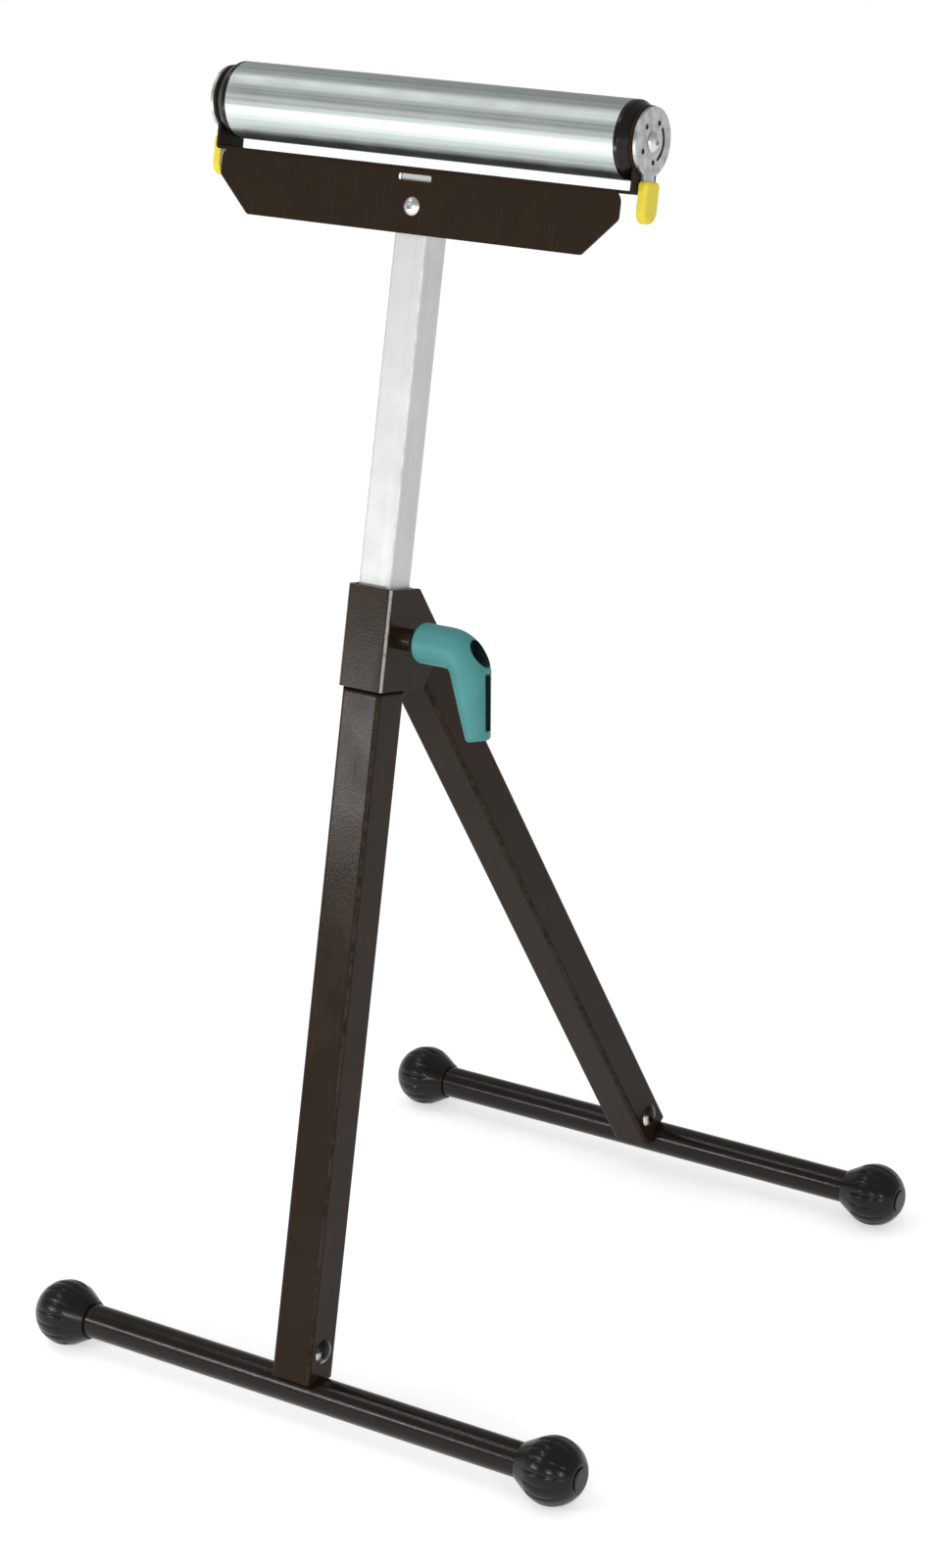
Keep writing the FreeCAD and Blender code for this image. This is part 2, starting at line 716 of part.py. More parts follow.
def clamp_lever():
    """Moulded lever: a round hub, a bent elbow and a tapering arm."""
    hub = turned([
        (hub_start, 0, 0), (hub_start, hub_radius, hub_nose),
        (elbow, hub_radius, 0), (elbow, 0, 0),
    ])
    section = Part.Face(Part.Wire(Part.makeCircle(hub_radius, V(elbow, 0, 0), across)))
    bend = section.revolve(V(elbow, 0, -elbow_radius), V(0, 1, 0), elbow_turn)
    turn = math.radians(elbow_turn)
    bend_end = V(elbow + elbow_radius * math.sin(turn), 0, elbow_radius * (math.cos(turn) - 1))
    arm = lever_arm().rotated(V(0, 0, 0), V(0, 1, 0), elbow_turn - 90).translated(bend_end)
    lever = hub.fuse([bend, arm]).removeSplitter()
    outside = elbow + elbow_radius + hub_radius
    lever = lever.cut(cross_rod(dimple_radius, outside - dimple_depth, outside + dimple_depth))
    return lever.cut(cross_rod(stud_radius + fit_gap, hub_start, hub_start + stud_hold + fit_gap))


def build():
    """Every piece by name, in the floor's frame."""
    front = {
        "front_leg_tube": front_leg_tube(),
        "front_foot_stub": foot_stub(),
        "front_foot_bolt": foot_bolt(),
        "front_foot_nut": foot_nut(),
        "pivot_collar": pivot_collar(),
        "pivot_bolt": pivot_bolt(),
        "pivot_nut": pivot_nut(),
        "mast_guide_sleeve": mast_guide_sleeve(),
        "mast_tube": mast_tube(),
        "mast_bottom_glide": mast_bottom_glide(),
        "head_bracket": head_bracket(),
        "head_screw": head_screw(),
        "head_nut": head_nut(),
        "roller_axle": on_axle(roller_axle()),
        "axle_end_screws": on_axle(both_sides(axle_end_screw())),
        "axle_spacers": on_axle(both_sides(axle_spacer())),
        "roller_bearings": on_axle(both_sides(roller_bearing())),
        "roller_tube": on_axle(ring(roller_radius, roller_radius - roller_wall, -roller_half, roller_half)),
        "right_end_cap": on_axle(end_cap()),
        "left_end_cap": on_axle(mirrored(end_cap())),
        "right_guide_disc": on_axle(guide_disc()),
        "left_guide_disc": on_axle(mirrored(guide_disc())),
        "right_guide_grip": on_axle(guide_grip()),
        "left_guide_grip": on_axle(mirrored(guide_grip())),
        "clamp_boss": on_clamp(clamp_boss()),
        "clamp_pad": on_clamp(clamp_pad()),
        "clamp_stud": on_clamp(clamp_stud()),
        "clamp_lever": on_clamp(clamp_lever()),
    }
    rear = {
        "rear_foot_stub": foot_stub(),
        "rear_foot_bolt": foot_bolt(),
        "rear_foot_nut": foot_nut(),
        "pivot_spacer": pivot_spacer(),
    }
    pieces = {name: placed(shape, front_place) for name, shape in front.items()}
    pieces.update({name: placed(shape, rear_place) for name, shape in rear.items()})
    pieces["rear_leg_tube"] = rear_leg_tube()
    for name, y in (("front", -stance / 2), ("rear", stance / 2)):
        pieces[name + "_foot_bar"] = foot_bar().translated(V(0, y, bar_height))
        pieces[name + "_right_ball_foot"] = ball_foot().translated(V(0, y, 0))
        pieces[name + "_left_ball_foot"] = mirrored(ball_foot()).translated(V(0, y, 0))
    return pieces


os.makedirs("parts", exist_ok=True)
for name, shape in build().items():
    shape.exportStep("parts/" + name + ".step")
    print(name, len(shape.Solids), round(shape.Volume, 1), shape.isValid())
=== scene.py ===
# %% [markdown]
# # A folding roller stand
# The stand carries long work beside a bench: a leaning square leg, a mast that slides in it, a zinc
# roller on top and a hinged rear leg. The measured frame already holds every rigid piece, so this
# lesson loads it, gives each piece its finish, and adds the moulded and threaded forms that a plain
# solid lacks.

# %% Load the measured frame
import json
import math
import bpy
import numpy as np
from mathutils import Matrix, Vector


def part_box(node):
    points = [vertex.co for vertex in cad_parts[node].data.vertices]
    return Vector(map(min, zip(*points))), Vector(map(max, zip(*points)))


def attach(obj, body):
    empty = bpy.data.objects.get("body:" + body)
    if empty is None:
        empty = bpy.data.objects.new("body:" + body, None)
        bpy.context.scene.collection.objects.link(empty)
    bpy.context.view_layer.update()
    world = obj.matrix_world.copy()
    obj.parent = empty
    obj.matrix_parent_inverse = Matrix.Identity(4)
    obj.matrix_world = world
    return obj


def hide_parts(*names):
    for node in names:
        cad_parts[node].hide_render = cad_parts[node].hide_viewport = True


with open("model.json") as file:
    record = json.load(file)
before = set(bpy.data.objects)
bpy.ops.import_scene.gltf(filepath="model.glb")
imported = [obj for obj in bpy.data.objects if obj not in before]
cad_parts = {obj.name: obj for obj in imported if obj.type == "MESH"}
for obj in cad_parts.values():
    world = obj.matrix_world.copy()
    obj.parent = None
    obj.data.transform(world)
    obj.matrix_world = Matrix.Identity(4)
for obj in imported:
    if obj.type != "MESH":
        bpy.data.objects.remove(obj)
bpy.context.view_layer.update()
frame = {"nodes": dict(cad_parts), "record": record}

# %% [markdown]
# ## Small tools for shader nodes
# Every finish below is a tree of nodes. One helper adds a node and fills its sockets, so that a
# finish reads from top to bottom like a recipe. Patterns read the piece's own coordinates in
# metres, so a scale is a count of grains to the metre. Noise seldom leaves the middle of its range,
# so a helper carries that middle part to the range that is wanted.

# %% Node helpers
noise_low = 0.3
noise_high = 0.7


def put(tree, kind, inputs=None, **settings):
    """Adds one shader node: settings are its own options, inputs are sockets to link or set."""
    node = tree.nodes.new("ShaderNode" + kind)
    for name, value in settings.items():
        setattr(node, name, value)
    for socket, value in (inputs or {}).items():
        if isinstance(value, bpy.types.NodeSocket):
            tree.links.new(value, node.inputs[socket])
        else:
            node.inputs[socket].default_value = value
    return node


def start_finish(name):
    """New material, with its node tree, its shader and the piece's own coordinates."""
    finish = bpy.data.materials.new(name)
    finish.use_nodes = True
    tree = finish.node_tree
    tree.nodes.clear()
    shader = put(tree, "BsdfPrincipled")
    put(tree, "OutputMaterial", {"Surface": shader.outputs["BSDF"]})
    return finish, tree, shader, put(tree, "TexCoord")


def cloud(tree, place, scale, detail=3.0):
    """Soft noise from 0 to 1 with about scale patches to the metre."""
    return put(tree, "TexNoise", {"Vector": place, "Scale": scale, "Detail": detail}).outputs["Fac"]


def streaks(tree, place, cells, detail=3.0):
    """Noise drawn out into lines: cells is the number of patches to the metre on each axis."""
    drawn = put(tree, "Mapping", {"Vector": place, "Scale": cells}).outputs["Vector"]
    return cloud(tree, drawn, 1.0, detail)


def span(tree, value, low, high, start, end):
    """Carries a value from the range low..high to start..end and holds it there."""
    limits = {"Value": value, "From Min": low, "From Max": high, "To Min": start, "To Max": end}
    return put(tree, "MapRange", limits).outputs["Result"]


def swing(tree, noise, start, end):
    """Carries the middle range of noise, where most of it lies, to start..end."""
    return span(tree, noise, noise_low, noise_high, start, end)


def calc(tree, operation, first, second):
    """One step of arithmetic on two values."""
    return put(tree, "Math", {0: first, 1: second}, operation=operation).outputs["Value"]


def tint(tree, share, first, second):
    """Colour that goes from the first to the second as share goes from 0 to 1."""
    return put(tree, "Mix", {0: share, 6: first, 7: second}, data_type="RGBA").outputs[2]


def lay(tree, colour, mask, most, tone):
    """Lays a tone over a colour where a mask is 1, covering at most a share of it."""
    return tint(tree, calc(tree, "MULTIPLY", mask, most), colour, tone)


def paint(red, green, blue):
    """Linear colour with full cover."""
    return (red, green, blue, 1.0)


def shade(tone, share):
    """A colour made darker, or brighter where the share is over 1."""
    return tuple(share * part for part in tone[:3]) + (1.0,)


def link(tree, shader, **sockets):
    """Links values to the shader's sockets; an underscore in a name stands for a space."""
    for name, value in sockets.items():
        tree.links.new(value, shader.inputs[name.replace("_", " ")])


def ripple(tree, shader, height, strength, depth):
    """Bump from a height pattern; depth is the height of a full step in metres."""
    bump = put(tree, "Bump", {"Height": height, "Strength": strength, "Distance": depth})
    tree.links.new(bump.outputs["Normal"], shader.inputs["Normal"])


print("node helpers ready")

# %% [markdown]
# ## Where edges wear
# Paint and zinc rub thin on edges first. The tubes have rounded corners, so a corner is where the
# surface faces between two sides: the product of both sideways parts of the normal is greatest
# there. Cut sheet has sharp edges instead, and the Bevel node finds them, because its rounded
# normal leans away from the true one.

# %% Edge masks
rub_step = 0.2


def leaning(tree, vector, lean, kind="POINT"):
    """Turns coordinates about X until a leg that leans back by lean stands upright."""
    turn = {"Vector": vector, "Rotation": (lean, 0, 0)}
    return put(tree, "Mapping", turn, vector_type=kind).outputs["Vector"]


def corner_wear(tree, coords, lean):
    """1 on a square tube's rounded corners, 0 on its flats.

    The product |x||y| of the upright tube's normal is 0 on a flat and one half in the middle of a corner.
    """
    normal = leaning(tree, coords.outputs["Normal"], lean, "VECTOR")
    parts = put(tree, "SeparateXYZ", {"Vector": normal})
    across = calc(tree, "ABSOLUTE", parts.outputs["X"], 0)
    behind = calc(tree, "ABSOLUTE", parts.outputs["Y"], 0)
    return span(tree, calc(tree, "MULTIPLY", across, behind), 0.25, 0.5, 0, 1)


def sharp_edge(tree, width):
    """1 on sharp edges: how far the normal rounded over a width leans from the true normal."""
    rounded = put(tree, "Bevel", {"Radius": width}, samples=4).outputs["Normal"]
    true = put(tree, "NewGeometry").outputs["Normal"]
    agreement = put(tree, "VectorMath", {0: rounded, 1: true}, operation="DOT_PRODUCT").outputs["Value"]
    return span(tree, agreement, 0.97, 0.8, 0, 1)


def rubbed(tree, place, edges, scale, start=0.42):
    """Breaks an edge mask into patches, as rubbing does; a lower start leaves fewer gaps."""
    patches = span(tree, cloud(tree, place, scale, 4), start, start + rub_step, 0, 1)
    return calc(tree, "MULTIPLY", edges, patches)


print("edge masks ready")

# %% [markdown]
# ## Painted shade in the lever's recesses
# The lever has two recesses, a round one in the elbow on the hub's axis and a long one down the
# arm. Their insides are painted nearly black: painted shade, the dark that a deep hole shows.
# Both are found by place: the coordinates are carried to the hub's axis, stood upright, and then
# turned with the arm, where each recess has plain limits.

# %% Mask of the painted shade in the lever's recesses
front_lean = math.radians(12.8)
elbow = 0.0550
elbow_radius = 0.0183
elbow_turn = math.radians(75.3)
round_recess = 0.0080
round_recess_start = 0.0680
long_recess_half = 0.0030
long_recess_top = -0.0020
long_recess_low = -0.0380
soft_step = 0.0003


def above(tree, value, limit):
    """1 where a value is over a limit, with a short soft step."""
    return span(tree, value, limit - soft_step, limit, 0, 1)


def below(tree, value, limit):
    """1 where a value is under a limit, with a short soft step."""
    return span(tree, value, limit, limit + soft_step, 1, 0)


def all_of(tree, first, *others):
    """Product of masks: 1 where every one is 1."""
    for other in others:
        first = calc(tree, "MULTIPLY", first, other)
    return first


def lever_recess_shade(tree, place):
    """1 in both recesses, where shade is painted: near the hub's axis past the elbow, and in a strip down
    the arm's outer side.
    """
    low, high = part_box("clamp_boss")
    axis = (0, 0.5 * (low.y + high.y), 0.5 * (low.z + high.z))
    centred = put(tree, "VectorMath", {0: place, 1: axis}, operation="SUBTRACT").outputs["Vector"]
    hub = leaning(tree, centred, front_lean)
    off_axis = put(tree, "VectorMath", {0: hub, 1: (0, 1, 1)}, operation="MULTIPLY").outputs["Vector"]
    distance = put(tree, "VectorMath", {0: off_axis}, operation="LENGTH").outputs["Value"]
    along = put(tree, "SeparateXYZ", {"Vector": hub}).outputs["X"]
    near_axis = below(tree, distance, round_recess)
    round_one = all_of(tree, near_axis, above(tree, along, round_recess_start))
    bend_out = elbow + elbow_radius * math.sin(elbow_turn)
    bend_down = elbow_radius * (math.cos(elbow_turn) - 1)
    bend_end = (bend_out, 0, bend_down)
    from_bend = put(tree, "VectorMath", {0: hub, 1: bend_end}, operation="SUBTRACT").outputs["Vector"]
    tilt = (0, math.pi / 2 - elbow_turn, 0)
    arm = put(tree, "Mapping", {"Vector": from_bend, "Rotation": tilt}).outputs["Vector"]
    parts = put(tree, "SeparateXYZ", {"Vector": arm}).outputs
    side = calc(tree, "ABSOLUTE", parts["Y"], 0)
    long_one = all_of(
        tree,
        below(tree, side, long_recess_half),
        above(tree, parts["X"], 0),
        below(tree, parts["Z"], long_recess_top),
        above(tree, parts["Z"], long_recess_low),
    )
    return calc(tree, "MAXIMUM", round_one, long_one)


print("round recess starts", round_recess_start, "m from the leg's middle")
print("long recess runs from", long_recess_top, "to", long_recess_low, "m along the arm")

# %% [markdown]
# ## Dust and painted shadow under the collar
# The collar is a sheet folded round the leg, and its lower edge stands proud of it. The leg is
# painted dark along that edge: partly dust that gathers there, partly painted shadow of the edge,
# and the dark line sets the collar off from the leg. It could be a thin piece of its own, but a
# mask by the distance along the leg fades out downward.

# %% Mask of the line of dust and painted shadow
collar_edge = 0.45176
collar_shadow_fade = 0.0045
collar_shadow_full = 0.0015


def collar_shadow_and_dust(tree, place):
    """1 on the leg just under the collar's lower edge, for dust and painted shadow, fading out downward."""
    along = put(tree, "SeparateXYZ", {"Vector": place}).outputs["Z"]
    return span(tree, along, collar_edge - collar_shadow_fade, collar_edge - collar_shadow_full, 0, 1)


# The printed line is the dust and painted shadow under the collar.
print("dust line", collar_edge, "m from the origin, along the leg")

# %% [markdown]
# ## Black powder coat
# Legs, bars, collar and head bracket wear a brown-black powder coat. Baked powder flows out into a
# fine ripple like orange peel, which blurs what it mirrors, so bump and roughness matter more here
# than colour. It mirrors little at right angles; the specular level is set low on the shader for
# that. One function makes every coat, because they differ only in lean, tone and shine, and in how
# far their bends are rubbed.

# %% Finish of the painted steel
rear_lean = math.radians(32.5)
leg_brown = paint(0.0205, 0.0124, 0.0068)
bar_brown = paint(0.0100, 0.0066, 0.0040)
worn_brown = paint(0.056, 0.046, 0.038)
scuff_grey = paint(0.045, 0.040, 0.036)
cut_grey = paint(0.075, 0.068, 0.062)
# Bright steel for the collar's bends: partly wear, partly a painted highlight.
bare_bend_highlight = paint(0.62, 0.60, 0.56)
mottle_scale = 38
speck_scale = 420
peel_scale = 780
rub_scale = 160
scuff_cells = (260, 260, 14)
cut_width = 0.0008
peel_depth = 0.0006


def black_coat(name, lean, tone, dullest, specular, bend_tone=worn_brown, bend_start=0.38, shadow_and_dust=None):
    """Powder coat for pieces in line with a leg of this lean.

    Roughness goes up to dullest, bends are rubbed to bend_tone, and a mask of dust and painted shadow
    darkens the coat and dulls it.
    """
    finish, tree, shader, coords = start_finish(name)
    place = leaning(tree, coords.outputs["Object"], lean)
    mottle = cloud(tree, place, mottle_scale, 5)
    specks = cloud(tree, place, speck_scale, 2)
    bends = rubbed(tree, place, corner_wear(tree, coords, lean), rub_scale, bend_start)
    cuts = rubbed(tree, place, sharp_edge(tree, cut_width), rub_scale)
    scuffs = span(tree, streaks(tree, place, scuff_cells, 6), 0.63, 0.72, 0, 1)
    colour = tint(tree, mottle, shade(tone, 0.75), shade(tone, 1.20))
    colour = lay(tree, colour, specks, 0.35, shade(tone, 1.5))
    colour = lay(tree, colour, scuffs, 0.25, scuff_grey)
    colour = lay(tree, colour, cuts, 0.55, cut_grey)
    colour = lay(tree, colour, bends, 0.7, bend_tone)
    dull = swing(tree, mottle, dullest - 0.1, dullest)
    dull = calc(tree, "ADD", dull, calc(tree, "MULTIPLY", scuffs, 0.12))
    dull = calc(tree, "SUBTRACT", dull, calc(tree, "MULTIPLY", bends, 0.08))
    # Dust and painted shadow: the mask darkens the colour, and the dust dulls the coat.
    if shadow_and_dust:
        cover = shadow_and_dust(tree, place)
        colour = tint(tree, cover, colour, shade(tone, 0.15))
        dull = calc(tree, "MAXIMUM", dull, cover)
    peel = cloud(tree, place, peel_scale, 2)
    peel = calc(tree, "ADD", peel, calc(tree, "MULTIPLY", scuffs, 0.2))
    link(tree, shader, Base_Color=colour, Roughness=dull)
    ripple(tree, shader, peel, 0.10, peel_depth)
    shader.inputs["Specular IOR Level"].default_value = specular
    return finish


front_coat = black_coat("black_coat_front", front_lean, leg_brown, 0.28, 0.10)
# The leg's coat carries the dust and painted shadow under the collar.
leg_coat = black_coat("black_coat_leg", front_lean, leg_brown, 0.26, 0.09, shadow_and_dust=collar_shadow_and_dust)
rear_coat = black_coat("black_coat_rear", -rear_lean, leg_brown, 0.30, 0.045)
bar_coat = black_coat("black_coat_bar", 0.0, bar_brown, 0.25, 0.21)
head_coat = black_coat("black_coat_head", front_lean, leg_brown, 0.56, 0.08)
# The collar's bends are laid much brighter, toward bare steel: partly wear, partly a painted highlight of
# the bend line.
collar_coat = black_coat("black_coat_collar", front_lean, leg_brown, 0.28, 0.09, bare_bend_highlight, 0.25)
coats = (front_coat, leg_coat, rear_coat, bar_coat, head_coat, collar_coat)
print("powder coats:", [coat.name for coat in coats])

# %% [markdown]
# ## Bright zinc
# The mast and the roller are drawn steel tube with bright zinc plate. Drawing leaves fine lines
# along the tube, and plating adds a faint cloudiness. Noise stretched along the tube gives the
# lines; the same noise moves roughness and bump, so that the highlight breaks up along the draw and
# not across it.

# %% Finish of the plated tubes
mast_light = paint(0.67, 0.67, 0.66)
mast_dark = paint(0.59, 0.59, 0.58)
roller_light = paint(0.60, 0.645, 0.625)
roller_dark = paint(0.34, 0.390, 0.372)
bloom_grey = paint(0.53, 0.57, 0.56)
rubbed_tube = paint(0.86, 0.86, 0.85)
tube_bloom_scale = 46
tube_rub_scale = 120
tube_edge_width = 0.0006
draw_depth = 0.0004


def drawn_zinc(name, cells, light, dark, dull_range):
    """Zinc plate on tube that leans with the front leg; cells to the metre are fewest along the draw."""
    finish, tree, shader, coords = start_finish(name)
    place = leaning(tree, coords.outputs["Object"], front_lean)
    lines = streaks(tree, place, cells)
    bloom = cloud(tree, place, tube_bloom_scale, 4)
    corners = corner_wear(tree, coords, front_lean)
    edges = calc(tree, "MAXIMUM", corners, sharp_edge(tree, tube_edge_width))
    wear = rubbed(tree, place, edges, tube_rub_scale)
    colour = tint(tree, span(tree, lines, 0.32, 0.68, 0, 1), dark, light)
    colour = tint(tree, span(tree, bloom, 0.35, 0.75, 0, 0.35), colour, bloom_grey)
    colour = lay(tree, colour, wear, 0.5, rubbed_tube)
    dull = swing(tree, lines, *dull_range)
    dull = calc(tree, "ADD", dull, span(tree, bloom, 0.3, 0.8, -0.02, 0.06))
    link(tree, shader, Base_Color=colour, Roughness=dull)
    ripple(tree, shader, lines, 0.12, draw_depth)
    shader.inputs["Metallic"].default_value = 1.0
    return finish


mast_zinc = drawn_zinc("mast_zinc", (420, 420, 2), mast_light, mast_dark, (0.54, 0.66))
roller_zinc = drawn_zinc("roller_zinc", (1.2, 380, 380), roller_light, roller_dark, (0.37, 0.47))
print("zinc tubes:", mast_zinc.name, roller_zinc.name)

# %% [markdown]
# ## Zinc on small hardware
# Bolts, nuts and the stamped guide discs are barrel plated: they tumble together, so the plate is
# dented and cloudy with no direction. A cell pattern stands for the tumbling marks, soft noise for
# the cloudiness.

# %% Finish of bolts, nuts and discs
rubbed_bolt = paint(0.88, 0.88, 0.87)
bolt_bloom_scale = 150
bolt_rub_scale = 240
bolt_edge_width = 0.0005
dent_scale = 620
dent_depth = 0.0003


def tumbled_zinc(name, light, dark, dull):
    """Barrel-plated zinc: cloudy colour, small round dents, bright rubbed edges."""
    finish, tree, shader, coords = start_finish(name)
    place = coords.outputs["Object"]
    bloom = cloud(tree, place, bolt_bloom_scale, 5)
    cells = put(tree, "TexVoronoi", {"Vector": place, "Scale": dent_scale}, feature="SMOOTH_F1")
    dents = cells.outputs["Distance"]
    wear = rubbed(tree, place, sharp_edge(tree, bolt_edge_width), bolt_rub_scale)
    colour = tint(tree, swing(tree, bloom, 0, 1), dark, light)
    colour = lay(tree, colour, wear, 0.7, rubbed_bolt)
    rough = swing(tree, bloom, dull, dull + 0.14)
    rough = calc(tree, "ADD", rough, calc(tree, "MULTIPLY", dents, 0.05))
    link(tree, shader, Base_Color=colour, Roughness=rough)
    ripple(tree, shader, dents, 0.18, dent_depth)
    shader.inputs["Metallic"].default_value = 1.0
    return finish


bolt_zinc = tumbled_zinc("bolt_zinc", paint(0.72, 0.72, 0.70), paint(0.55, 0.55, 0.54), 0.24)
disc_zinc = tumbled_zinc("disc_zinc", paint(0.58, 0.60, 0.59), paint(0.28, 0.30, 0.29), 0.34)
print("plated hardware:", bolt_zinc.name, disc_zinc.name)

# %% [markdown]
# ## Foot bolts with a painted highlight
# The bolts through both legs have dark heads. Their lower rims are painted as bright bare metal:
# a painted highlight, the bright crescent where the rim faces the floor. The rim is found by its
# normal, which leans away from the bolt's axis and points level or down.

# %% Finish of the foot bolts
head_dark = paint(0.018, 0.016, 0.015)
head_light = paint(0.034, 0.031, 0.029)
painted_rim_highlight = paint(0.66, 0.66, 0.64)
head_bloom_scale = 260


def head_with_painted_highlight():
    """Black-plated bolt whose lower rim is painted bright, a painted highlight: a mask of the normal's X
    and Z parts.
    """
    finish, tree, shader, coords = start_finish("bolt_with_painted_highlight")
    bloom = cloud(tree, coords.outputs["Object"], head_bloom_scale, 4)
    parts = put(tree, "SeparateXYZ", {"Vector": coords.outputs["Normal"]}).outputs
    rim = span(tree, parts["X"], 0.90, 0.80, 0, 1)
    lower = span(tree, parts["Z"], 0.25, 0.05, 0, 1)
    # Painted highlight: bright metal on the lower rim, in patches.
    rim_highlight = all_of(tree, rim, lower, span(tree, bloom, 0.25, 0.45, 0.5, 1))
    colour = tint(tree, rim_highlight, tint(tree, bloom, head_dark, head_light), painted_rim_highlight)
    link(tree, shader, Base_Color=colour, Roughness=swing(tree, bloom, 0.28, 0.40))
    ripple(tree, shader, bloom, 0.15, dent_depth)
    shader.inputs["Metallic"].default_value = 1.0
    return finish


bolt_with_painted_highlight = head_with_painted_highlight()
print("foot bolts:", bolt_with_painted_highlight.name)

# %% [markdown]
# ## Moulded plastics
# Feet, end caps and liners are black plastic, the lever teal and the grips yellow. Their tools are
# spark eroded, which leaves a fine even grain on the moulding, and handling polishes the edges. One
# function makes all three from two tones of the colour.

# %% Finish of the mouldings
flow_scale = 55
handling_scale = 180
handled_width = 0.0009
grain_depth = 0.0004


def moulded(name, tone, pale, grain, dull, specular, recess_shade=None):
    """Coloured plastic, pale on handled edges; grain is the count of eroded pits to the metre.

    Where a recess shade mask is given, the inside of the recess is painted nearly black: painted shade.
    """
    finish, tree, shader, coords = start_finish(name)
    place = coords.outputs["Object"]
    flow = cloud(tree, place, flow_scale, 4)
    pits = cloud(tree, place, grain, 2)
    wear = rubbed(tree, place, sharp_edge(tree, handled_width), handling_scale)
    colour = tint(tree, swing(tree, flow, 0, 1), shade(tone, 0.86), tone)
    colour = tint(tree, span(tree, pits, 0.55, 0.8, 0, 0.25), colour, pale)
    colour = lay(tree, colour, wear, 0.45, pale)
    if recess_shade:
        # Painted shade: the recesses are darkened to nearly black.
        colour = tint(tree, recess_shade(tree, place), colour, shade(tone, 0.08))
    rough = swing(tree, flow, dull, dull + 0.08)
    rough = calc(tree, "ADD", rough, swing(tree, pits, 0, 0.06))
    link(tree, shader, Base_Color=colour, Roughness=rough)
    ripple(tree, shader, pits, 0.38 * dull, grain_depth)
    shader.inputs["Specular IOR Level"].default_value = specular
    return finish


black_tone = paint(0.0072, 0.0058, 0.0048)
black_pale = paint(0.022, 0.019, 0.017)
teal_tone = paint(0.067, 0.280, 0.272)
teal_pale = paint(0.13, 0.38, 0.37)
yellow_tone = paint(0.92, 0.75, 0.055)
yellow_pale = paint(0.95, 0.83, 0.18)
black_moulding = moulded("black_moulding", black_tone, black_pale, 1500, 0.18, 0.25)
teal_moulding = moulded("teal_moulding", teal_tone, teal_pale, 1700, 0.42, 0.30, lever_recess_shade)
yellow_moulding = moulded("yellow_moulding", yellow_tone, yellow_pale, 1700, 0.40, 0.30)
print("mouldings:", black_moulding.name, teal_moulding.name, yellow_moulding.name)

# %% [markdown]
# ## Turned brass
# The thrust pad inside the clamp presses on the mast without marking it. It is turned from brass
# bar, so its fine lines run round the clamp's axis: noise with many cells along that axis and few
# across it.

# %% Finish of the thrust pad
brass_dark = paint(0.62, 0.45, 0.18)
brass_light = paint(0.76, 0.60, 0.30)
turning_cells = (3000, 60, 60)
turning_depth = 0.0002


def turned_brass():
    """Brass with turning lines about the clamp's axis."""
    finish, tree, shader, coords = start_finish("turned_brass")
    lines = streaks(tree, coords.outputs["Object"], turning_cells)
    colour = tint(tree, lines, brass_dark, brass_light)
    link(tree, shader, Base_Color=colour, Roughness=swing(tree, lines, 0.24, 0.38))
    ripple(tree, shader, lines, 0.15, turning_depth)
    shader.inputs["Metallic"].default_value = 1.0
    return finish


pad_brass = turned_brass()
print("thrust pad:", pad_brass.name)

# %% [markdown]
# ## Dressing the frame
# The frame's own solids already have the right shapes, so most pieces only need their finish.
# Painted pieces take the coat that is lined up with their leg, so the scuffs and worn corners
# follow the tube.

# %% Give each solid its finish
finish_of_slot = {
    "black_paint": front_coat,
    "zinc_tube": mast_zinc,
    "zinc_hardware": bolt_zinc,
    "black_plastic": black_moulding,
    "teal_plastic": teal_moulding,
    "yellow_plastic": yellow_moulding,
    "brass": pad_brass,
}
finish_of_node = {
    "front_leg_tube": leg_coat,
    "rear_leg_tube": rear_coat,
    "rear_foot_stub": rear_coat,
    "front_foot_bar": bar_coat,
    "rear_foot_bar": bar_coat,
    "head_bracket": head_coat,
    "pivot_collar": collar_coat,
    "front_foot_bolt": bolt_with_painted_highlight,
    "rear_foot_bolt": bolt_with_painted_highlight,
    "roller_tube": roller_zinc,
    "left_guide_disc": disc_zinc,
    "right_guide_disc": disc_zinc,
}
for subpart in frame["record"]["subparts"]:
    finish = finish_of_node.get(subpart["node"], finish_of_slot[subpart["material_slot"]])
    for slot in frame["nodes"][subpart["node"]].material_slots:
        slot.material = finish

# %% [markdown]
# ## Skins from rings of points
# The new pieces are closed skins: a stack of rings, each with the same number of points, whose
# first and last rings shrink to a single point. A ring is a whole numpy row, so a shape is one
# formula for the height of the ring and the turn round it. The helper joins neighbouring rings with
# four-sided faces and closes both ends.

# %% Ring skins
crease_angle = math.radians(38)


